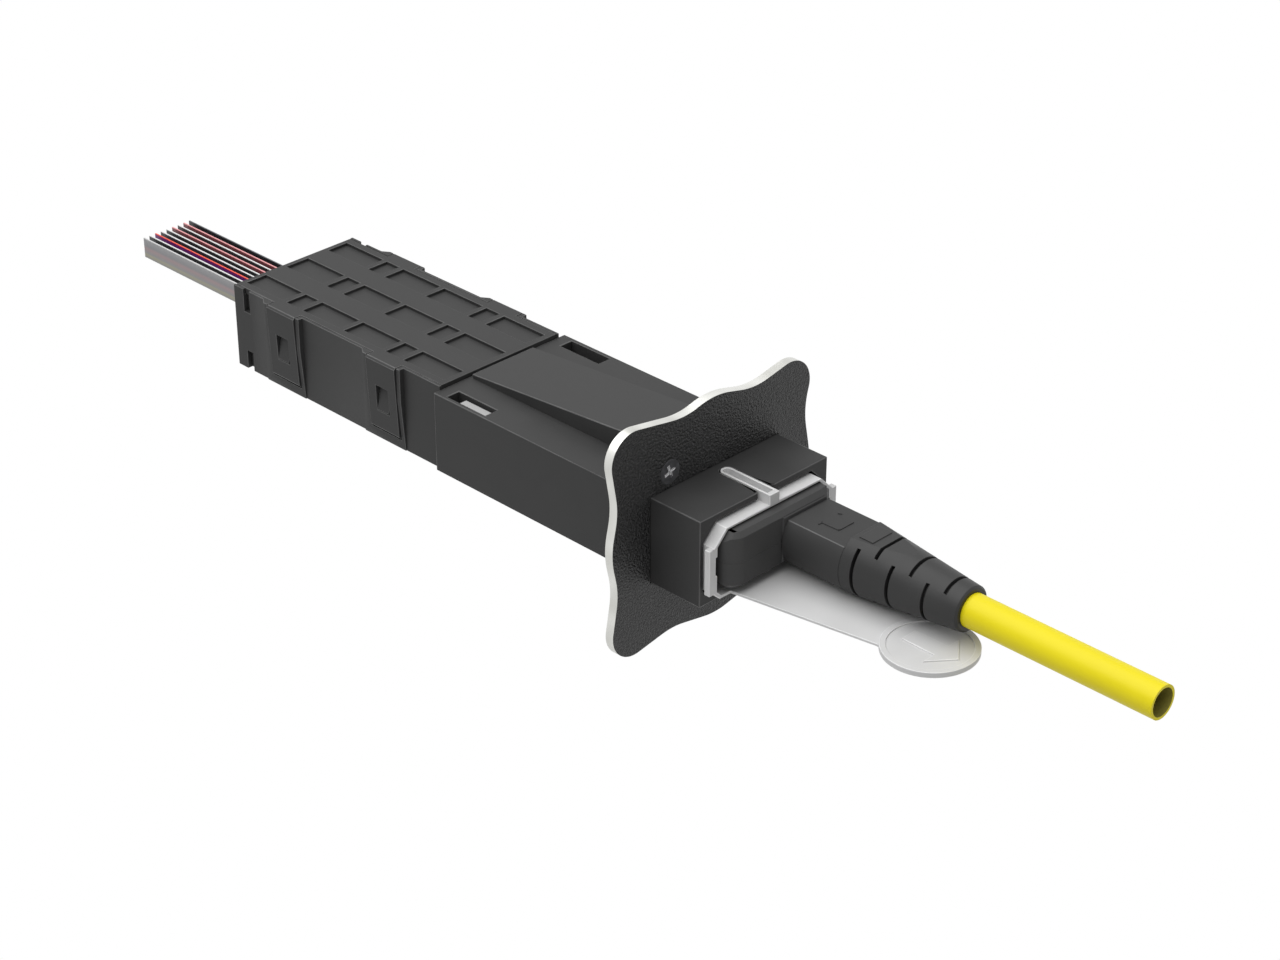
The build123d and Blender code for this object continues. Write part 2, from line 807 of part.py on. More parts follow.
# Plug shell in two halves: a head that fits the receptacle, a straight body and a hub for the neck
plug_ferrule_rear_x = 2 * mating_x - ferrule_rear_x
plug_carrier_front_x = head_front_x + plug_mouth_length
plug_carrier_rear_x = plug_ferrule_rear_x + retainer_thickness + plug_carrier_overhang
head_half_width = collar_half_width - seat_gap
head_top_z = collar_top_z
head_bottom_z = collar_bottom_z
plug_cavity_rear_x = plug_back_x - plug_back_wall
with BuildPart() as plug_shell:
    with BuildSketch(Plane.YZ.offset(head_rear_x)):
        Polygon(
            *corner_outline(
                plug_half_width,
                plug_bottom_z,
                plug_top_z,
                plug_low_corner,
                plug_top_corner,
            ),
            align=None,
        )
    extrude(amount=plug_back_x - head_rear_x)
    fillet(plug_shell.edges().filter_by(Axis.Z).group_by(Axis.X)[-1], plug_corner)
    back_rim = plug_shell.faces().sort_by(Axis.X)[-1].edges().filter_by(Axis.Y)
    chamfer(back_rim, plug_edge)
    with BuildSketch(Plane.YZ.offset(head_front_x)):
        Polygon(
            *corner_outline(
                head_half_width,
                head_bottom_z,
                head_top_z,
                collar_corner_low,
                collar_corner_top,
            ),
            align=None,
        )
    extrude(amount=head_rear_x - head_front_x)
    # Hub round the neck, sloped at 45 degrees on all sides
    hub_centre = ((hub_near_y + hub_far_y) / 2, (plug_top_z + plug_bottom_z) / 2)
    hub_width = hub_far_y - hub_near_y
    hub_height = plug_top_z - plug_bottom_z
    with BuildSketch(Plane.YZ.offset(plug_cavity_rear_x)):
        with Locations(hub_centre):
            Rectangle(hub_width, hub_height)
    extrude(amount=hub_front_x - hub_slope - plug_cavity_rear_x)
    with BuildSketch(Plane.YZ.offset(hub_front_x - hub_slope)):
        with Locations(hub_centre):
            Rectangle(hub_width, hub_height)
    with BuildSketch(Plane.YZ.offset(hub_front_x)):
        with Locations(hub_centre):
            Rectangle(hub_width - 2 * hub_slope, hub_height - 2 * hub_slope)
    loft()
    # Runners under the body carry the collar
    for side in (-1, 1):
        box_between(
            (head_rear_x, plug_back_x - runner_setback),
            (side * runner_y, side * (runner_y + runner_width)),
            (collar_bottom_z + collar_wall_bottom + sliding_gap, plug_bottom_z),
        )
    # Inside: one chamber behind the carrier, a mouth for the mating ferrules, a hole for the neck
    box_between(
        (plug_carrier_front_x, plug_cavity_rear_x),
        (-plug_cavity_half_width, plug_cavity_half_width),
        (plug_cavity_bottom_z, plug_cavity_top_z),
        Mode.SUBTRACT,
    )
    box_between(
        (head_front_x, plug_carrier_front_x),
        (-window_half_width - sliding_gap, window_half_width + sliding_gap),
        (-window_half_height - sliding_gap, window_half_height + sliding_gap),
        Mode.SUBTRACT,
    )
    box_between(
        (plug_cavity_rear_x, hub_front_x),
        (
            cable_y - spigot_half_width - seat_gap,
            cable_y + spigot_half_width + seat_gap,
        ),
        (-spigot_half_height - seat_gap, spigot_half_height + seat_gap),
        Mode.SUBTRACT,
    )
    # Channels for the latch springs, and the notches that their hooks drop into
    for side in (-1, 1):
        box_between(
            (head_front_x, head_rear_x),
            (side * plug_half_width, side * head_half_width),
            (slot_floor_z, -slot_floor_z),
            Mode.SUBTRACT,
        )
        box_between(
            (latch_tip_x - catch_notch_length, latch_tip_x),
            (side * (plug_half_width - catch_notch_depth), side * plug_half_width),
            (slot_floor_z, -slot_floor_z),
            Mode.SUBTRACT,
        )
        # Pocket for the collar's return spring
        box_between(
            (collar_rear_x + lug_setback - lug_length, spring_pocket_rear_x),
            (side * (plug_half_width - spring_pocket_depth), side * plug_half_width),
            (-spring_height / 2 - sliding_gap, spring_height / 2 + sliding_gap),
            Mode.SUBTRACT,
        )
with BuildPart() as plug_shell_upper:
    add(plug_shell.part)
    split(bisect_by=Plane.XY.offset(plug_parting_z), keep=Keep.TOP)
save(plug_shell_upper, "plug_shell_upper")
with BuildPart() as plug_shell_lower:
    add(plug_shell.part)
    split(bisect_by=Plane.XY.offset(plug_parting_z), keep=Keep.BOTTOM)
save(plug_shell_lower, "plug_shell_lower")

# Carrier and comb plate inside the plug
with BuildPart() as plug_ferrule_carrier:
    box_between(
        (plug_carrier_front_x, plug_carrier_rear_x),
        (seat_gap - plug_cavity_half_width, plug_cavity_half_width - seat_gap),
        (plug_cavity_bottom_z + seat_gap, plug_cavity_top_z - seat_gap),
    )
    box_between(
        (plug_carrier_front_x, plug_carrier_rear_x),
        (-window_half_width, window_half_width),
        (-window_half_height, window_half_height),
        Mode.SUBTRACT,
    )
save(plug_ferrule_carrier, "plug_ferrule_carrier")
with BuildPart() as plug_ferrule_retainer:
    box_between(
        (plug_ferrule_rear_x, plug_ferrule_rear_x + retainer_thickness),
        (seat_gap - window_half_width, window_half_width - seat_gap),
        (seat_gap - window_half_height, window_half_height - seat_gap),
    )
save(plug_ferrule_retainer, "plug_ferrule_retainer")

# Pull collar: sleeve, side lips, key rib, tongue and finger pad in one moulding
tongue_top_z = collar_bottom_z + collar_wall_bottom
with BuildPart() as pull_collar:
    with BuildSketch(Plane.YZ.offset(collar_rear_x)):
        Polygon(
            *corner_outline(
                collar_half_width,
                collar_bottom_z,
                collar_top_z,
                collar_corner_low,
                collar_corner_top,
            ),
            align=None,
        )
    extrude(amount=collar_front_x - collar_rear_x)
    for side in (-1, 1):
        box_between(
            (collar_front_x - lip_thickness, collar_front_x),
            (side * (collar_half_width - collar_wall_side), side * lip_half_width),
            (lip_bottom_z, lip_top_z),
        )
    with BuildSketch(Plane.YZ.offset(collar_rear_x)):
        Polygon(
            *corner_outline(
                collar_half_width - collar_wall_side,
                tongue_top_z,
                collar_top_z - collar_wall_top,
                collar_corner_low - collar_wall_top,
                collar_corner_top - collar_wall_top,
            ),
            align=None,
        )
    extrude(amount=collar_front_x - collar_rear_x, mode=Mode.SUBTRACT)
    # Key rib that runs in the nose's slot
    with BuildSketch(Plane.XY.offset(collar_top_z - collar_wall_top)):
        with Locations((key_slot_end_x + key_slot_half_width, 0)):
            Circle(key_half_width)
            Rectangle(
                collar_front_x - key_slot_end_x - key_slot_half_width,
                2 * key_half_width,
                align=(Align.MIN, Align.CENTER),
            )
    extrude(amount=key_top_z - collar_top_z + collar_wall_top)
    with BuildSketch(Plane.XY.offset(key_top_z)):
        with Locations((key_slot_end_x + key_slot_half_width, 0)):
            Circle(key_groove_half_width)
            Rectangle(
                collar_front_x - key_slot_end_x - key_slot_half_width - key_groove_end,
                2 * key_groove_half_width,
                align=(Align.MIN, Align.CENTER),
            )
    extrude(amount=-key_groove_depth, mode=Mode.SUBTRACT)
    # Tongue and round finger pad
    with BuildSketch(Plane.XY.offset(collar_bottom_z)):
        Polygon(
            (collar_front_x - tongue_root_flare, -tongue_root_half_width - tongue_root_flare),
            (collar_front_x, -tongue_root_half_width),
            (tongue_tip_x, -tongue_tip_half_width),
            (pad_x, -tongue_tip_half_width),
            (pad_x, tongue_tip_half_width),
            (tongue_tip_x, tongue_tip_half_width),
            (collar_front_x, tongue_root_half_width),
            (collar_front_x - tongue_root_flare, tongue_root_half_width + tongue_root_flare),
            align=None,
        )
    extrude(amount=collar_wall_bottom)
    with BuildSketch(Plane.XY.offset(pad_bottom_z)):
        with Locations((pad_x, 0)):
            Circle(pad_radius)
    extrude(amount=pad_top_z - pad_bottom_z)
    with BuildSketch(Plane.XY.offset(pad_top_z)):
        with Locations((pad_x, 0)):
            Circle(pad_radius - pad_rim)
    extrude(amount=pad_floor_depth, both=True, mode=Mode.SUBTRACT)
    with BuildSketch(Plane.XY.offset(pad_top_z - pad_floor_depth)):
        Polygon(
            (arrow_rear_x, -arrow_half_width),
            (arrow_head_x, -arrow_half_width),
            (arrow_head_x, -arrow_head_half_width),
            (arrow_tip_x, 0),
            (arrow_head_x, arrow_head_half_width),
            (arrow_head_x, arrow_half_width),
            (arrow_rear_x, arrow_half_width),
            align=None,
        )
    extrude(amount=pad_floor_depth)
    # Lugs that press on the return springs, and the shallow grooves in the walls in front of them
    for side in (-1, 1):
        box_between(
            (collar_rear_x + lug_setback + lug_length, collar_front_x),
            (
                side * (collar_half_width - collar_wall_side),
                side * (collar_half_width - collar_wall_side + wall_groove_depth),
            ),
            (-spring_height / 2, spring_height / 2),
            Mode.SUBTRACT,
        )
        box_between(
            (collar_rear_x + lug_setback, collar_rear_x + lug_setback + lug_length),
            (
                side * (collar_half_width - collar_wall_side - lug_depth),
                side * (collar_half_width - collar_wall_side),
            ),
            (-spring_height / 2, spring_height / 2),
        )
save(pull_collar, "pull_collar")

# Return springs: waved strips between the collar's lugs and the plug's pockets
spring_start_x = collar_rear_x + lug_setback + lug_length
spring_length = spring_pocket_rear_x - spring_start_x
spring_inner_y = plug_half_width - spring_pocket_depth + seat_gap
spring_outer_y = collar_half_width - collar_wall_side - seat_gap
spring_half_wave = (spring_outer_y - spring_inner_y - spring_strip) / 2
spring_mid_y = (spring_outer_y + spring_inner_y) / 2
for side, place in ((-1, "near"), (1, "far")):
    wave = [
        (
            spring_start_x + spring_length * step / spring_steps,
            side * spring_mid_y + (-1) ** step * spring_half_wave,
        )
        for step in range(spring_steps + 1)
    ]
    with BuildPart() as collar_spring:
        with BuildSketch(Plane.XY.offset(-spring_height / 2)):
            Polygon(
                *[(x, y - spring_strip / 2) for x, y in wave],
                *[(x, y + spring_strip / 2) for x, y in reversed(wave)],
                align=None,
            )
        extrude(amount=spring_height)
    save(collar_spring, f"collar_spring_{place}")

# Neck: round with a flat top and bottom, and a flange that the shell halves clamp
with BuildPart() as cable_neck:
    with BuildSketch(Plane.YZ.offset(hub_front_x)):
        with Locations((cable_y, 0)):
            Circle(neck_radius)
            Rectangle(2 * neck_radius, 2 * neck_half_height, mode=Mode.INTERSECT)
    extrude(amount=neck_front_x - hub_front_x)
    fillet(cable_neck.edges().filter_by(Axis.X), neck_edge)
    box_between(
        (plug_cavity_rear_x, hub_front_x),
        (cable_y - spigot_half_width, cable_y + spigot_half_width),
        (-spigot_half_height, spigot_half_height),
    )
    box_between(
        (plug_cavity_rear_x - spigot_flange_length, plug_cavity_rear_x),
        (cable_y - spigot_half_width - seat_gap, cable_y + spigot_half_width + seat_gap),
        (plug_cavity_bottom_z + seat_gap, plug_cavity_top_z - seat_gap),
    )
    with BuildSketch(Plane.YZ.offset(plug_cavity_rear_x - spigot_flange_length)):
        with Locations((cable_y, 0)):
            Circle(crimp_bore_radius + crimp_bore_wall)
    extrude(amount=neck_front_x - plug_cavity_rear_x + spigot_flange_length, mode=Mode.SUBTRACT)
    with BuildSketch(Plane.YZ.offset(neck_front_x)):
        with Locations((cable_y, 0)):
            Circle(crimp_head_radius + press_gap)
    extrude(amount=-crimp_head_length, mode=Mode.SUBTRACT)
save(cable_neck, "cable_neck")

# Crimp body: a turned tube with a head in the neck and a tail inside the jacket
tail_radius = cable_bore_radius - press_gap
with BuildPart() as crimp_body:
    with BuildSketch(Plane.XZ.offset(-cable_y)):
        Polygon(
            (neck_front_x - crimp_head_length, crimp_bore_radius),
            (neck_front_x - crimp_head_length, crimp_head_radius),
            (neck_front_x, crimp_head_radius),
            (neck_front_x, tail_radius),
            (crimp_tail_end_x, tail_radius),
            (crimp_tail_end_x, crimp_bore_radius),
            align=None,
        )
    revolve(axis=Axis((0, cable_y, 0), (1, 0, 0)))
save(crimp_body, "crimp_body")

# Crimp ring over the jacket
ring_inner_radius = cable_radius + press_gap
ring_outer_radius = ring_inner_radius + crimp_ring_thickness
with BuildPart() as crimp_ring:
    with BuildSketch(Plane.YZ.offset(crimp_ring_start_x)):
        with Locations((cable_y, 0)):
            RegularPolygon(ring_outer_radius, crimp_ring_sides, major_radius=False)
            Circle(ring_inner_radius, mode=Mode.SUBTRACT)
    extrude(amount=crimp_ring_length)
save(crimp_ring, "crimp_ring")

# Cable jacket: a straight tube, cut off square
with BuildPart() as cable_jacket:
    with BuildSketch(Plane.YZ.offset(neck_front_x + seat_gap)):
        with Locations((cable_y, 0)):
            Circle(cable_radius)
            Circle(cable_bore_radius, mode=Mode.SUBTRACT)
    extrude(amount=cable_end_x - neck_front_x - seat_gap)
save(cable_jacket, "cable_jacket")

# Boot: a cone with a flat top and bottom, a blank raised plate, and staggered bending cuts
ring_end_x = crimp_ring_start_x + crimp_ring_length
boot_pocket_radius = ring_outer_radius / cos(radians(180 / crimp_ring_sides)) + seat_gap
boot_taper = (boot_start_radius - boot_end_radius) / (boot_end_x - neck_front_x)
with BuildPart() as strain_relief_boot:
    with BuildSketch(Plane.XZ.offset(-cable_y)):
        Polygon(
            (neck_front_x, 0),
            (neck_front_x, boot_start_radius),
            (boot_end_x - boot_end_edge, boot_end_radius),
            (boot_end_x, boot_end_radius - boot_end_edge),
            (boot_end_x, 0),
            align=None,
        )
    revolve(axis=Axis((0, cable_y, 0), (1, 0, 0)))
    box_between(
        (neck_front_x, boot_end_x),
        (cable_y - boot_start_radius, cable_y + boot_start_radius),
        (-boot_flat_z, boot_flat_z),
        Mode.INTERSECT,
    )
    box_between(boot_plate_x, boot_plate_y, (boot_flat_z, boot_flat_z + boot_plate_rise))
    # The cuts sit by turns on the two sides and on the top and bottom
    for index in range(boot_cut_count):
        cut_x = boot_cut_start_x + index * boot_cut_pitch
        cut_radius = boot_start_radius - (cut_x - neck_front_x) * boot_taper
        half_span = cut_radius * sin(radians(boot_cut_reach))
        with BuildSketch(Plane.YZ.offset(cut_x - boot_cut_width / 2)):
            with Locations((cable_y, 0)):
                Circle(2 * boot_start_radius)
                Circle(min(cut_radius, boot_flat_z) - boot_cut_depth, mode=Mode.SUBTRACT)
                if index % 2 == 0:
                    Rectangle(4 * boot_start_radius, 2 * half_span, mode=Mode.INTERSECT)
                else:
                    Rectangle(2 * half_span, 4 * boot_start_radius, mode=Mode.INTERSECT)
        extrude(amount=boot_cut_width, mode=Mode.SUBTRACT)
    with BuildSketch(Plane.YZ.offset(neck_front_x)):
        with Locations((cable_y, 0)):
            Circle(boot_pocket_radius)
    extrude(amount=ring_end_x - neck_front_x, mode=Mode.SUBTRACT)
    with BuildSketch(Plane.YZ.offset(ring_end_x)):
        with Locations((cable_y, 0)):
            Circle(cable_radius + press_gap)
    extrude(amount=boot_end_x - ring_end_x, mode=Mode.SUBTRACT)
save(strain_relief_boot, "strain_relief_boot")
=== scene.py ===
import json
import math

import bmesh
import bpy
from mathutils import Matrix, Vector


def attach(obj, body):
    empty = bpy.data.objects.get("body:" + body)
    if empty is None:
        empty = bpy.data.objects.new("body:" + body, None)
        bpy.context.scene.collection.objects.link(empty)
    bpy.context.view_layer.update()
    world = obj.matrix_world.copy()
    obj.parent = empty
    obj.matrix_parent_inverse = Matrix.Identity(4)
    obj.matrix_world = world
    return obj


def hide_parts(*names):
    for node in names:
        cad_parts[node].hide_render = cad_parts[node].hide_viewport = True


# Looks of the expanded beam fibre connector: camera, finishes, cords, soft edges, a mark and light
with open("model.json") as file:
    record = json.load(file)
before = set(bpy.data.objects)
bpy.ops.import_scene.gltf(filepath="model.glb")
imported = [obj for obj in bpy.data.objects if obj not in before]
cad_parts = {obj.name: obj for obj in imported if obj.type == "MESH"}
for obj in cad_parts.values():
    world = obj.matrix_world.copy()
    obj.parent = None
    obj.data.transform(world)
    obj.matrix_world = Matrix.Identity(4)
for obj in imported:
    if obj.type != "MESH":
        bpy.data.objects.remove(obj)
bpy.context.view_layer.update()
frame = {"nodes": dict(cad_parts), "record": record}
nodes = frame["nodes"]
record = frame["record"]
mm = 0.001
print("frame loaded")

# The camera stands where the photo's own perspective puts it: degrees, and mm
cameraSet = {
    "lens": 84.52,
    "azimuth": 44.92,
    "pitch": 29.76,
    "place": (292.22, -310.49, 248.89),
}


def placeCamera(spec):
    data = bpy.data.cameras.new("camera")
    data.sensor_width = 36.0
    data.lens = spec["lens"]
    camera = bpy.data.objects.new("camera", data)
    camera.location = [v * mm for v in spec["place"]]
    turn = (90 - spec["pitch"], 0, spec["azimuth"])
    camera.rotation_euler = [math.radians(v) for v in turn]
    bpy.context.scene.collection.objects.link(camera)
    bpy.context.scene.camera = camera


placeCamera(cameraSet)


# Colours are written as sRGB hex
def fromHex(code):
    channels = [int(code[i:i + 2], 16) / 255 for i in (0, 2, 4)]
    return [c / 12.92 if c <= 0.04045 else ((c + 0.055) / 1.055) ** 2.4 for c in channels] + [1.0]


# Adds a node. A setting goes to the node's own attribute, or else to its socket,
# and a link goes to the socket of that name
def addNode(tree, kind, settings=None, **links):
    node = tree.nodes.new(kind)
    for key, value in (settings or {}).items():
        if hasattr(node, key):
            setattr(node, key, value)
        else:
            node.inputs[key].default_value = value
    for key, source in links.items():
        tree.links.new(source, node.inputs[key.replace("_", " ")])
    return node


def newMaterial(name, spec):
    material = bpy.data.materials.new(name)
    material.use_nodes = True
    tree = material.node_tree
    tree.nodes.clear()
    shader = addNode(tree, "ShaderNodeBsdfPrincipled", spec.get("shader", {}))
    output = addNode(tree, "ShaderNodeOutputMaterial")
    tree.links.new(shader.outputs["BSDF"], output.inputs["Surface"])
    return material, tree, shader


def addRamp(tree, factor, stops):
    ramp = addNode(tree, "ShaderNodeValToRGB", Fac=factor)
    while len(ramp.color_ramp.elements) < len(stops):
        ramp.color_ramp.elements.new(0.5)  # moved to its own place just below
    for element, (place, code) in zip(ramp.color_ramp.elements, stops):
        element.position = place
        element.color = fromHex(code)
    return ramp


def addNoise(tree, sizeMm, detail=2.0):
    place = addNode(tree, "ShaderNodeTexCoord").outputs["Object"]
    settings = {"Scale": 1 / (sizeMm * mm), "Detail": detail}
    return addNode(tree, "ShaderNodeTexNoise", settings, Vector=place)


# Between two shares of a pattern the colour goes from the spec's low to its high
def addTint(tree, shader, factor, spec, span):
    stops = tuple(zip(span, (spec["low"], spec["high"])))
    tint = addRamp(tree, factor, stops)
    tree.links.new(tint.outputs["Color"], shader.inputs["Base Color"])


def addBump(tree, shader, height, spec):
    depth = {"Strength": spec["bump"], "Distance": spec["depthMm"] * mm}
    bump = addNode(tree, "ShaderNodeBump", depth, Height=height)
    tree.links.new(bump.outputs["Normal"], shader.inputs["Normal"])


# The shares of a pattern over which the colour, or the roughness, changes
cloudSpan = (0.35, 0.65)
wearSpan = (0.3, 0.7)
ringSpan = (0.2, 0.8)
skinSpan = (0.4, 0.62)


# One body colour with a faint cloud in it, a grain in the bump and wear in the roughness
def grainedFinish(name, spec):
    material, tree, shader = newMaterial(name, spec)
    cloud = addNoise(tree, spec["cloudMm"], 1.0).outputs["Fac"]
    addTint(tree, shader, cloud, spec, cloudSpan)
    addBump(tree, shader, addNoise(tree, spec["grainMm"]).outputs["Fac"], spec)
    wear = dict(zip(("From Min", "From Max", "To Min", "To Max"), wearSpan + spec["rough"]))
    rough = addNode(tree, "ShaderNodeMapRange", wear, Value=cloud)
    tree.links.new(rough.outputs["Result"], shader.inputs["Roughness"])
    return material


# Lathe marks run round the X axis: fine rings in the bump of turned and rolled metal.
# The wave texture turns by 20 radians in each unit of its scale, and wobbles a little
waveTurn = 20
ringWobble = 0.4


def turnedMetal(name, spec):
    material, tree, shader = newMaterial(name, spec)
    place = addNode(tree, "ShaderNodeTexCoord").outputs["Object"]
    wave = {
        "bands_direction": "X",
        "Scale": math.tau / (spec["markMm"] * mm) / waveTurn,
        "Distortion": ringWobble,
    }
    rings = addNode(tree, "ShaderNodeTexWave", wave, Vector=place).outputs["Fac"]
    addTint(tree, shader, rings, spec, ringSpan)
    addBump(tree, shader, rings, spec)
    return material


# A painted skin whose colour follows its bump: painted shade in its hollows and a painted
# highlight on its tops, in one pattern
def wrinkledPaint(name, spec):
    material, tree, shader = newMaterial(name, spec)
    skin = addNoise(tree, spec["skinMm"], 3.0).outputs["Fac"]
    addTint(tree, shader, skin, spec, skinSpan)
    addBump(tree, shader, skin, spec)
    return material


# Glass-filled PBT, injection moulded in a spark-eroded tool: matt black with a faint mottle
mouldedBlack = {
    "low": "373737",
    "high": "3c3c3c",
    "grainMm": 0.22,
    "cloudMm": 9.0,
    "bump": 0.12,
    "depthMm": 0.02,
    "rough": (0.5, 0.58),
    "shader": {"IOR": 1.38, "Specular IOR Level": 0.33},
}
# The plug's shell is the same black a shade lighter, as painted light: it stands in for the light
# the pale tongue throws onto its side
litPlugBlack = {**mouldedBlack, "low": "424242", "high": "474747"}
# The same black, lighter and glossier, as a painted highlight: a thin lighter line along the
# softened edges
edgeHighlightBlack = {
    "low": "4a4a4a",
    "high": "585858",
    "grainMm": 0.3,
    "cloudMm": 2.5,
    "bump": 0.05,
    "depthMm": 0.01,
    "rough": (0.3, 0.4),
    "shader": {"IOR": 1.45},
}
# A lighter, glossier grey as a painted highlight along the collar's softened edges
edgeHighlightGrey = {
    "low": "e4e4e4",
    "high": "ececec",
    "grainMm": 0.3,
    "cloudMm": 2.5,
    "bump": 0.05,
    "depthMm": 0.01,
    "rough": (0.28, 0.36),
    "shader": {"IOR": 1.48},
}
# Acetal, injection moulded: pale grey with a soft sheen
acetalGrey = {
    "low": "d3d3d3",
    "high": "d6d6d6",
    "grainMm": 0.3,
    "cloudMm": 6.0,
    "bump": 0.06,
    "depthMm": 0.01,
    "rough": (0.4, 0.48),
    "shader": {"IOR": 1.48},
}
# The latch arms are acetal too, drawn a darker grey than the collar
latchGrey = {
    "low": "adadad",
    "high": "b4b4b4",
    "grainMm": 0.3,
    "cloudMm": 4.0,
    "bump": 0.06,
    "depthMm": 0.01,
    "rough": (0.38, 0.46),
    "shader": {"IOR": 1.48},
}
# Thermoplastic elastomer, moulded: softer black with a wide highlight
bootRubber = {
    "low": "252525",
    "high": "2a2a2a",
    "grainMm": 0.25,
    "cloudMm": 5.0,
    "bump": 0.12,
    "depthMm": 0.02,
    "rough": (0.45, 0.53),
    "shader": {"IOR": 1.44},
}
# Low-smoke polyolefin sheath, extruded: even yellow with a satin sheen
sheathYellow = {
    "low": "efde0a",
    "high": "f3e210",
    "grainMm": 0.4,
    "cloudMm": 12.0,
    "bump": 0.05,
    "depthMm": 0.01,
    "rough": (0.42, 0.5),
    "shader": {"IOR": 1.45, "Specular IOR Level": 0.4},
}
# Inside the tube the sheath is drawn a darker, dull olive
boreOlive = {
    "low": "8a8238",
    "high": "968e40",
    "grainMm": 0.4,
    "cloudMm": 6.0,
    "bump": 0.1,
    "depthMm": 0.02,
    "rough": (0.5, 0.6),
    "shader": {"IOR": 1.45},
}
# Amber polyetherimide, moulded and polished: the lens ferrules glow a warm brown
polyimideAmber = {
    "low": "8a4a12",
    "high": "9a5616",
    "grainMm": 0.5,
    "cloudMm": 2.0,
    "bump": 0.03,
    "depthMm": 0.01,
    "rough": (0.18, 0.26),
    "shader": {"IOR": 1.65},
}
# Wrinkle powder coat on sheet steel: the skin is drawn 0.4 mm coarse, with a painted highlight
# where it stands and painted shade in its hollows
wrinkleCoat = {
    "low": "0c0c0c",
    "high": "343434",
    "skinMm": 0.4,
    "bump": 1.0,
    "depthMm": 0.4,
    "shader": {"Roughness": 0.4, "IOR": 1.45},
}
# Sheet steel, laser cut: the bare edge is bright, with duller stretches along it
cutSteel = {
    "low": "c4c4bf",
    "high": "dededa",
    "grainMm": 0.5,
    "cloudMm": 6.0,
    "bump": 0.15,
    "depthMm": 0.05,
    "rough": (0.3, 0.42),
    "shader": {"Metallic": 1.0},
}
# Alloy steel, cold headed and blackened: a dark screw head with a soft gleam
oxideSteel = {
    "low": "4f4f51",
    "high": "5d5d60",
    "grainMm": 0.2,
    "cloudMm": 1.0,
    "bump": 0.1,
    "depthMm": 0.01,
    "rough": (0.34, 0.44),
    "shader": {"Metallic": 0.2},
}
# The screw's cross recess is painted near-white: a painted highlight where its walls catch the
# light
recessHighlightSteel = {
    "low": "f0f0f2",
    "high": "ffffff",
    "markMm": 0.15,
    "bump": 0.1,
    "depthMm": 0.01,
    "shader": {"Metallic": 0.15, "Roughness": 0.3},
}
# Spring steel strip, cold rolled: bright and smooth
rolledSteel = {
    "low": "b8b8bc",
    "high": "c6c6ca",
    "markMm": 0.4,
    "bump": 0.05,
    "depthMm": 0.01,
    "shader": {"Metallic": 1.0, "Roughness": 0.28},
}
# Free-cutting brass, turned on a lathe: yellow metal with fine rings
turnedBrass = {
    "low": "c79a4a",
    "high": "dab264",
    "markMm": 0.25,
    "bump": 0.15,
    "depthMm": 0.01,
    "shader": {"Metallic": 1.0, "Roughness": 0.3},
}
# Soft aluminium tube, drawn and crimped: pale satin metal
drawnAluminium = {
    "low": "c8cacd",
    "high": "d6d8da",
    "markMm": 0.35,
    "bump": 0.08,
    "depthMm": 0.01,
    "shader": {"Metallic": 1.0, "Roughness": 0.38},
}


blackPbt = grainedFinish("blackPbt", mouldedBlack)
litPlugPbt = grainedFinish("litPlugPbt", litPlugBlack)
edgeHighlightPbt = grainedFinish("edgeHighlightPbt", edgeHighlightBlack)
greyAcetal = grainedFinish("greyAcetal", acetalGrey)
edgeHighlightAcetal = grainedFinish("edgeHighlightAcetal", edgeHighlightGrey)
latchAcetal = grainedFinish("latchAcetal", latchGrey)
boot = grainedFinish("bootElastomer", bootRubber)
sheath = grainedFinish("sheathPolyolefin", sheathYellow)
sheathBore = grainedFinish("darkOliveSheathBore", boreOlive)
amber = grainedFinish("amberPolyetherimide", polyimideAmber)
coat = wrinkledPaint("wrinklePowderCoat", wrinkleCoat)
cutEdge = grainedFinish("cutSteelEdge", cutSteel)
blackScrew = grainedFinish("blackenedSteel", oxideSteel)
crossHighlight = turnedMetal("recessHighlightSteel", recessHighlightSteel)
springStrip = turnedMetal("springSteel", rolledSteel)
brass = turnedMetal("turnedBrass", turnedBrass)
aluminium = turnedMetal("drawnAluminium", drawnAluminium)
print("materials made")

# An edge that turns by more than this is a real corner, and stays crisp
sharpAngle = math.radians(35)


def linkPiece(bm, name, materials, body, crisp=True):
    if crisp:
        for edge in bm.edges:
            edge.smooth = edge.calc_face_angle(0) < sharpAngle
    mesh = bpy.data.meshes.new(name)
    bm.to_mesh(mesh)
    bm.free()
    for material in materials:
        mesh.materials.append(material)
    piece = bpy.data.objects.new(name, mesh)
    bpy.context.scene.collection.objects.link(piece)
    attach(piece, body)
    return piece


def looksAlongX(face):
    return abs(face.normal.x) >= 0.5


# The cable stub, straight and cut square, with an empty bore
cableSpec = {
    "y": 5.4,
    "exitX": 50.0,
    "endX": 86.3,
    "radius": 2.92,
    "bore": 2.43,
    "around": 64,
}


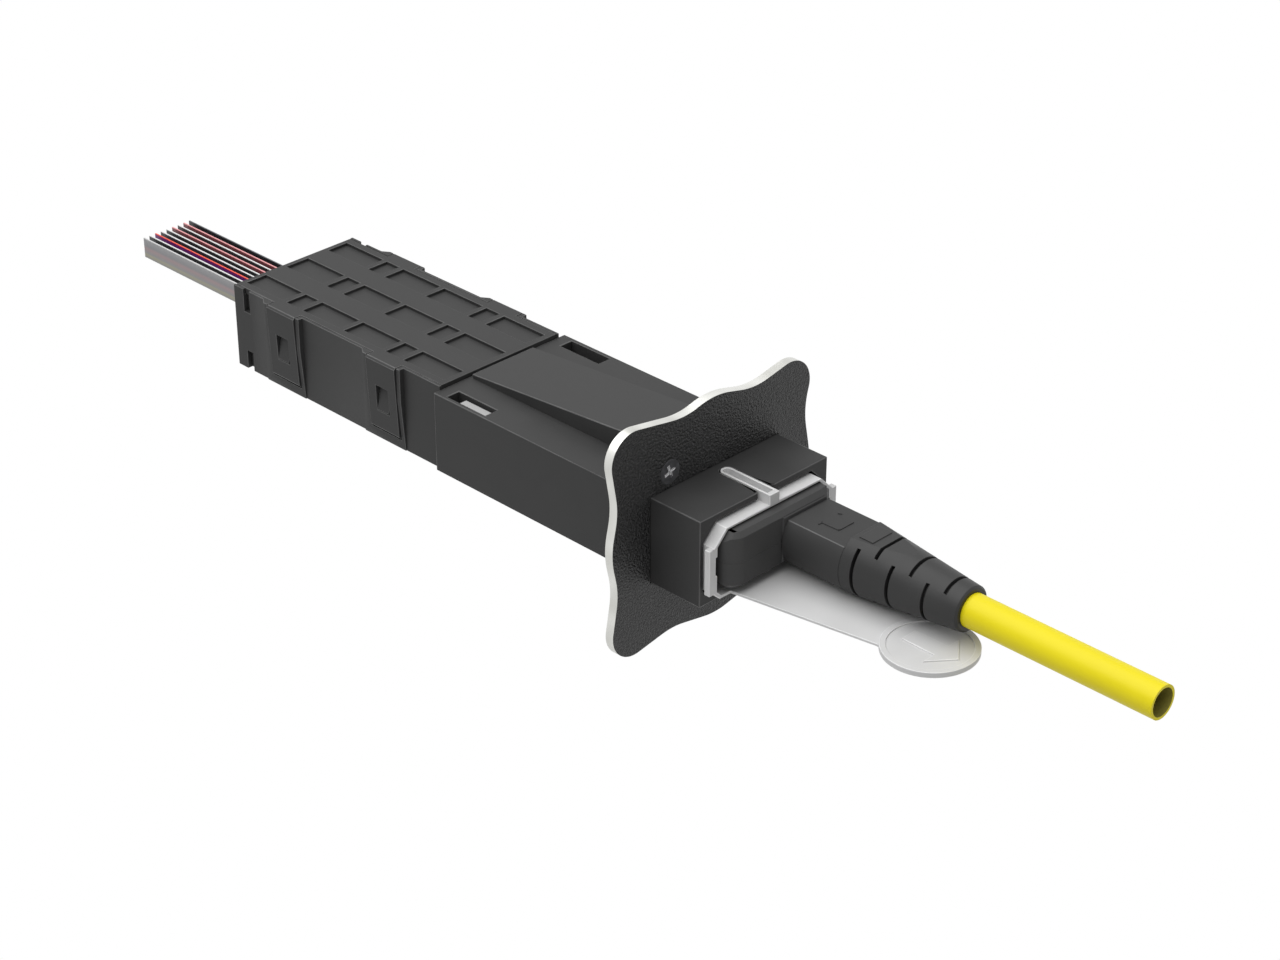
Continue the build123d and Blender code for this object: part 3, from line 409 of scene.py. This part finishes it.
def makeCable(spec):
    bm = bmesh.new()
    start = Matrix.Translation((spec["exitX"] * mm, spec["y"] * mm, 0))
    start = start @ Matrix.Rotation(math.radians(90), 4, "Y")
    rings = []
    for radius in (spec["radius"], spec["bore"]):
        made = bmesh.ops.create_circle(
            bm, segments=spec["around"], radius=radius * mm, matrix=start
        )
        rings.append(list({e for v in made["verts"] for e in v.link_edges}))
    wall = bmesh.ops.bridge_loops(bm, edges=rings[0] + rings[1])
    pulled = bmesh.ops.extrude_face_region(bm, geom=wall["faces"])
    moved = [v for v in pulled["geom"] if isinstance(v, bmesh.types.BMVert)]
    length = (spec["endX"] - spec["exitX"]) * mm
    bmesh.ops.translate(bm, verts=moved, vec=(length, 0, 0))
    bmesh.ops.recalc_face_normals(bm, faces=bm.faces)
    between = (spec["radius"] + spec["bore"]) / 2 * mm
    for face in bm.faces:
        face.smooth = True
        middle = face.calc_center_median()
        inBore = math.hypot(middle.y - spec["y"] * mm, middle.z) < between
        face.material_index = 1 if inBore and not looksAlongX(face) else 0
    piece = linkPiece(bm, "cableSheath", [sheath, sheathBore], "plug")
    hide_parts("cable_jacket")


makeCable(cableSpec)
print("cable made")

# Nine flat ribbons of sixteen fibres stand on edge behind the case, the fifth on the middle line.
# The matrix is UV-cured acrylate, drawn: a glossy skin over the fibre colours
ribbonSpec = {
    "middle": 4,
    "pitch": 1.366,
    "thick": 0.3,
    "groove": 0.02,
    "low": -2.145,
    "high": 1.925,
    "farX": -146.95,
    "exitX": -107.75,
    "fibres": 16,
    "shader": {"Roughness": 0.32, "IOR": 1.5},
    "skinMm": 14.0,
    "bump": 0.2,
    "depthMm": 0.1,
}
# Colours up the height of the ribbon: the share of the height, and the colour there. On the inner
# ribbons the dark sides are painted shade, standing in for the narrow gaps between them, and only
# the top edge shows the ribbon's own white, pink, red or grey
ribbonStripes = {
    "clear": ((0.0, "2b2b2d"), (0.96, "3a3a3c"), (0.985, "f2f2f1")),
    "first": (
        (0.0, "8f8f90"),
        (0.18, "a5a18a"),
        (0.28, "929293"),
        (0.5, "a58f91"),
        (0.64, "8c8c8f"),
        (0.96, "a0a0a2"),
        (0.985, "d8d8d8"),
    ),
    # The red ribbon's purple face is its own colour, with painted shade making it darker towards
    # the bottom
    "red": ((0.0, "3a1450"), (0.7, "6a2888"), (0.97, "8a2c80"), (0.985, "ff5a40")),
    "pink": ((0.0, "3a2024"), (0.96, "8a4a50"), (0.985, "f6a8aa")),
    "dark": ((0.0, "232427"), (0.96, "2c2d30"), (0.985, "4a4c50")),
}
ribbonColours = ("first", "clear", "red", "clear", "clear", "pink", "clear", "pink", "dark")


def ribbonMatrix(name, stops, spec):
    material, tree, shader = newMaterial(name, spec)
    place = addNode(tree, "ShaderNodeTexCoord").outputs["Object"]
    split = addNode(tree, "ShaderNodeSeparateXYZ", Vector=place)
    height = addNode(
        tree,
        "ShaderNodeMapRange",
        {"From Min": spec["low"] * mm, "From Max": spec["high"] * mm},
        Value=split.outputs["Z"],
    )
    tint = addRamp(tree, height.outputs["Result"], stops)
    tree.links.new(tint.outputs["Color"], shader.inputs["Base Color"])
    addBump(tree, shader, addNoise(tree, spec["skinMm"], 1.0).outputs["Fac"], spec)
    return material


def makeRibbon(index, material, spec):
    y = (index - spec["middle"]) * spec["pitch"] * mm
    middle = (spec["low"] + spec["high"]) / 2 * mm
    length = (spec["exitX"] - spec["farX"]) * mm
    height = (spec["high"] - spec["low"]) * mm
    bm = bmesh.new()
    bmesh.ops.create_cube(bm, size=1.0)
    bmesh.ops.scale(bm, vec=(length, spec["thick"] * mm, height), verts=bm.verts)
    tall = [e for e in bm.edges if abs(e.verts[0].co.z - e.verts[1].co.z) > height / 2]
    rows = 2 * spec["fibres"]
    bmesh.ops.subdivide_edges(bm, edges=tall, cuts=rows - 1, use_grid_fill=True)
    for vert in bm.verts:
        row = round((vert.co.z / height + 0.5) * rows)
        if row % 2 == 0:  # between two fibres the skin dips
            vert.co.y -= math.copysign(spec["groove"] * mm, vert.co.y)
        vert.co.y += y
        vert.co.z += middle
        vert.co.x += (spec["farX"] + spec["exitX"]) / 2 * mm
    bmesh.ops.recalc_face_normals(bm, faces=bm.faces)
    for face in bm.faces:
        face.smooth = True
    node = f"ribbon_{index + 1}"
    piece = linkPiece(bm, f"ribbonCable{index + 1}", [material], "receptacle")
    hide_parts(node)


slotOf = {part["node"]: part["material_slot"] for part in record["subparts"]}
bodyOf = {node: body for body, held in record["behaviour"]["bodies"].items() for node in held}
ribbonSkins = {
    colour: ribbonMatrix(f"{colour}RibbonAcrylate", stops, ribbonSpec)
    for colour, stops in ribbonStripes.items()
}
for index, colour in enumerate(ribbonColours):
    makeRibbon(index, ribbonSkins[colour], ribbonSpec)
print("ribbons made")

# Vertices closer than weld, in mm, are one, and faces that turn by less than flat are joined
softSpec = {"weld": 0.001, "flat": math.radians(0.5), "rounds": 2}


# A piece's own form with its outer edges softened, as every tool leaves them.
# Where the highlight index names a material's place, the softened convex edges take it as a
# painted highlight, and an edge that crease picks out is not smoothed over
def softPiece(
    node, name, materials, edgeMm, joinFlats=True, paint=None, reshape=None, crease=None, highlightIndex=-1
):
    bm = bmesh.new()
    bm.from_mesh(nodes[node].data)
    bmesh.ops.remove_doubles(bm, verts=bm.verts, dist=softSpec["weld"] * mm)
    if reshape:
        reshape(bm)
    if joinFlats:
        bmesh.ops.dissolve_limit(
            bm,
            angle_limit=softSpec["flat"],
            use_dissolve_boundaries=False,
            verts=bm.verts,
            edges=bm.edges,
        )
    for face in bm.faces:
        face.smooth = True
        face.material_index = paint(face) if paint else 0
    weight = bm.edges.layers.float.new("bevel_weight_edge")
    for edge in bm.edges:
        sharp = edge.calc_face_angle(0) > sharpAngle
        edge.smooth = edge.is_convex if sharp else not (crease and crease(edge))
        edge[weight] = 1.0 if sharp and edge.is_convex else 0.0
    piece = linkPiece(bm, name, materials, bodyOf[node], crisp=False)
    stored = piece.data.attributes.get("custom_normal")  # would override the softened edges
    if stored:
        piece.data.attributes.remove(stored)
    soften = piece.modifiers.new("soften", "BEVEL")
    soften.width = edgeMm * mm
    soften.segments = softSpec["rounds"]
    soften.limit_method = "WEIGHT"
    soften.material = highlightIndex
    soften.use_clamp_overlap = False
    soften.harden_normals = True
    soften.miter_outer = "MITER_ARC"
    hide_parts(node)


# Each has its piece's name, its materials, its edge in mm, and whether its flats are joined first.
# Where there are two materials, the second is a painted highlight on the softened edges
blackPair = [blackPbt, edgeHighlightPbt]
mouldings = {
    "receptacle_housing": ("receptacleMoulding", blackPair, 0.15, False),
    "backshell_base": ("caseMoulding", blackPair, 0.1, False),
    "backshell_cover": ("coverMoulding", blackPair, 0.1, False),
    "plug_shell_upper": ("upperShellMoulding", [litPlugPbt], 0.06, False),
    "plug_shell_lower": ("lowerShellMoulding", [litPlugPbt], 0.06, False),
    "latch_spring_near": ("nearLatchMoulding", [latchAcetal], 0.08, True),
    "latch_spring_far": ("farLatchMoulding", [latchAcetal], 0.08, True),
}
for node, (name, materials, edgeMm, joinFlats) in mouldings.items():
    highlightIndex = 1 if len(materials) > 1 else -1
    softPiece(node, name, materials, edgeMm, joinFlats, highlightIndex=highlightIndex)

# The boot's two flats meet its cone in a plain line
bootSpec = {"edge": 0.08, "level": 0.999}


def flatRim(edge):
    level = [abs(face.normal.z) > bootSpec["level"] for face in edge.link_faces]
    return level.count(True) == 1


softPiece("strain_relief_boot", "bootMoulding", [boot], bootSpec["edge"], crease=flatRim)

# A painted highlight on the neck, where its flat turns into its round side: those faces take the
# lighter edge black
neckSpec = {"edge": 0.1, "aboveZ": 3.65, "turnedFrom": 0.6, "turnedTo": 0.97}


def neckEdgeHighlight(face):
    turned = neckSpec["turnedFrom"] < face.normal.z < neckSpec["turnedTo"]
    return 1 if turned and face.calc_center_median().z > neckSpec["aboveZ"] * mm else 0


softPiece("cable_neck", "neckMoulding", blackPair, neckSpec["edge"], paint=neckEdgeHighlight)

# The collar's key rib is cored out from above, deeper than its solid has it
collarSpec = {"edge": 0.12, "grooveZ": 7.75, "halfWidth": 0.8, "deeper": 1.15, "near": 0.02}


def coreKeyRib(bm):
    for vert in bm.verts:
        level = abs(vert.co.z / mm - collarSpec["grooveZ"]) < collarSpec["near"]
        if level and abs(vert.co.y / mm) < collarSpec["halfWidth"]:
            vert.co.z -= collarSpec["deeper"] * mm


# The collar's softened edges take the lighter grey as a painted highlight
softPiece(
    "pull_collar",
    "collarMoulding",
    [greyAcetal, edgeHighlightAcetal],
    collarSpec["edge"],
    reshape=coreKeyRib,
    highlightIndex=1,
)
print("mouldings made")

# The panel: wrinkle coat on both faces and in its holes, bare metal round the cut outline
panelSpec = {
    "edge": 0.02,
    "holeHalfWidth": 15.3,
    "holeHalfHeight": 8.3,
    "screws": ((-10.58, 11.0), (10.58, -11.0)),
    "screwHole": 3.0,
}


def fromScrew(middle):
    return min(math.hypot(middle.y - y, middle.z - z) for y, z in panelSpec["screws"])


def panelPaint(face):
    middle = face.calc_center_median() / mm
    inHole = (
        abs(middle.y) < panelSpec["holeHalfWidth"] and abs(middle.z) < panelSpec["holeHalfHeight"]
    )
    inHole = inHole or fromScrew(middle) < panelSpec["screwHole"]
    return 0 if looksAlongX(face) or inHole else 1


softPiece("panel_section", "panelSheet", [coat, cutEdge], panelSpec["edge"], False, panelPaint)

# The screws: blackened heads with a cross painted bright as a painted highlight, which lies
# between its floor and the head
screwSpec = {"edge": 0.08, "recess": 1.2, "floorX": -1.6, "headX": -0.02}


def screwPaint(face):
    middle = face.calc_center_median() / mm
    inCross = screwSpec["floorX"] < middle.x < screwSpec["headX"]
    return 1 if inCross and fromScrew(middle) < screwSpec["recess"] else 0


screwPair = [blackScrew, crossHighlight]
softPiece("panel_screws", "panelScrews", screwPair, screwSpec["edge"], True, screwPaint)
print("panel and screws made")

# A generic pointing mark, raised on the neck's flat: each stroke from and to, in plan
markSpec = {
    "z": 3.95,
    "rise": 0.14,
    "width": 0.26,
    "edge": 0.03,
    "strokes": (
        ((20.1, 2.97), (20.12, 3.66)),
        ((20.12, 3.66), (23.62, 3.82)),
        ((23.62, 3.82), (23.64, 7.17)),
        ((20.1, 7.7), (20.5, 7.95)),
    ),
}


def makeMark(spec):
    bm = bmesh.new()
    for start, end in spec["strokes"]:
        run = Vector(end) - Vector(start)
        turn = Matrix.Rotation(math.atan2(run.y, run.x), 4, "Z")
        middle = (Vector(start) + Vector(end)) / 2
        made = bmesh.ops.create_cube(bm, size=1.0)
        size = ((run.length + spec["width"]) * mm, spec["width"] * mm, 2 * spec["rise"] * mm)
        bmesh.ops.scale(bm, vec=size, verts=made["verts"])
        bmesh.ops.rotate(bm, cent=(0, 0, 0), matrix=turn, verts=made["verts"])
        place = (middle.x * mm, middle.y * mm, spec["z"] * mm)
        bmesh.ops.translate(bm, vec=place, verts=made["verts"])
    bmesh.ops.bevel(
        bm,
        geom=bm.edges,
        offset=spec["edge"] * mm,
        offset_type="OFFSET",
        segments=2,
        profile=0.5,
        material=-1,
        affect="EDGES",
    )
    piece = linkPiece(bm, "neckMark", [blackPbt], "plug")


makeMark(markSpec)
print("mark made")

# Every CAD node that still shows takes the finish of its slot
finishes = {
    "black_plastic": blackPbt,
    "grey_plastic": greyAcetal,
    "black_rubber": boot,
    "panel_paint": coat,
    "screw_steel": blackScrew,
    "spring_steel": springStrip,
    "brass": brass,
    "aluminium": aluminium,
    "ferrule_polymer": amber,
    "yellow_jacket": sheath,
    "ribbon_white": ribbonSkins["clear"],
    "ribbon_red": ribbonSkins["red"],
    "ribbon_pink": ribbonSkins["pink"],
    "ribbon_grey": ribbonSkins["dark"],
}
for name, node in nodes.items():
    node.data.materials.clear()
    node.data.materials.append(finishes[slotOf[name]])

# The floor lies far below, so that views from below aren't blocked
floorSet = {"z": -450.0, "half": 3000.0, "colour": "bdbdbd", "rough": 0.9}


# What the eye, a reflection or a view through sees is plain white
def whiteToEye(tree):
    path = addNode(tree, "ShaderNodeLightPath")
    firstTwo = addNode(tree, "ShaderNodeMath", {"operation": "MAXIMUM"})
    anyRay = addNode(tree, "ShaderNodeMath", {"operation": "MAXIMUM"})
    tree.links.new(path.outputs["Is Camera Ray"], firstTwo.inputs[0])
    tree.links.new(path.outputs["Is Glossy Ray"], firstTwo.inputs[1])
    tree.links.new(firstTwo.outputs[0], anyRay.inputs[0])
    tree.links.new(path.outputs["Is Transmission Ray"], anyRay.inputs[1])
    return anyRay.outputs[0]


def makeFloor(spec):
    bm = bmesh.new()
    bmesh.ops.create_grid(bm, x_segments=1, y_segments=1, size=spec["half"] * mm)
    bmesh.ops.translate(bm, verts=bm.verts, vec=(0, 0, spec["z"] * mm))
    mesh = bpy.data.meshes.new("floor")
    bm.to_mesh(mesh)
    bm.free()
    material, tree, shader = newMaterial("paleFloor", {"shader": {"Roughness": spec["rough"]}})
    shader.inputs["Base Color"].default_value = fromHex(spec["colour"])
    white = addNode(tree, "ShaderNodeEmission", {"Strength": 1.0})
    both = addNode(tree, "ShaderNodeMixShader")
    tree.links.new(whiteToEye(tree), both.inputs[0])
    tree.links.new(shader.outputs["BSDF"], both.inputs[1])
    tree.links.new(white.outputs["Emission"], both.inputs[2])
    output = next(n for n in tree.nodes if n.type == "OUTPUT_MATERIAL")
    tree.links.new(both.outputs["Shader"], output.inputs["Surface"])
    mesh.materials.append(material)
    floor = bpy.data.objects.new("floor", mesh)
    bpy.context.scene.collection.objects.link(floor)


makeFloor(floorSet)

# Light: an even room, and one broad source above, a little behind the panel and on the near side
lightSet = {
    "room": 0.33,
    "name": "overhead",
    "from": (-0.2, -0.25, 1.0),
    "spread": 80,
    "strength": 2.45,
}


def makeLight(spec):
    world = bpy.data.worlds.new("room")
    bpy.context.scene.world = world
    world.use_nodes = True
    tree = world.node_tree
    tree.nodes.clear()
    plain = fromHex("ffffff")
    room = addNode(tree, "ShaderNodeBackground", {"Color": plain, "Strength": spec["room"]})
    white = addNode(tree, "ShaderNodeBackground", {"Color": plain, "Strength": 1.0})
    both = addNode(tree, "ShaderNodeMixShader")
    output = addNode(tree, "ShaderNodeOutputWorld")
    tree.links.new(whiteToEye(tree), both.inputs[0])
    tree.links.new(room.outputs["Background"], both.inputs[1])
    tree.links.new(white.outputs["Background"], both.inputs[2])
    tree.links.new(both.outputs["Shader"], output.inputs["Surface"])
    data = bpy.data.lights.new(spec["name"], "SUN")
    data.angle = math.radians(spec["spread"])
    data.energy = spec["strength"]
    lamp = bpy.data.objects.new(spec["name"], data)
    lamp.location = spec["from"]
    lamp.rotation_euler = (-Vector(spec["from"])).to_track_quat("-Z", "Y").to_euler()
    bpy.context.scene.collection.objects.link(lamp)


makeLight(lightSet)
bpy.context.scene.view_settings.view_transform = "Standard"
print("stage and light made")

print("scene complete")
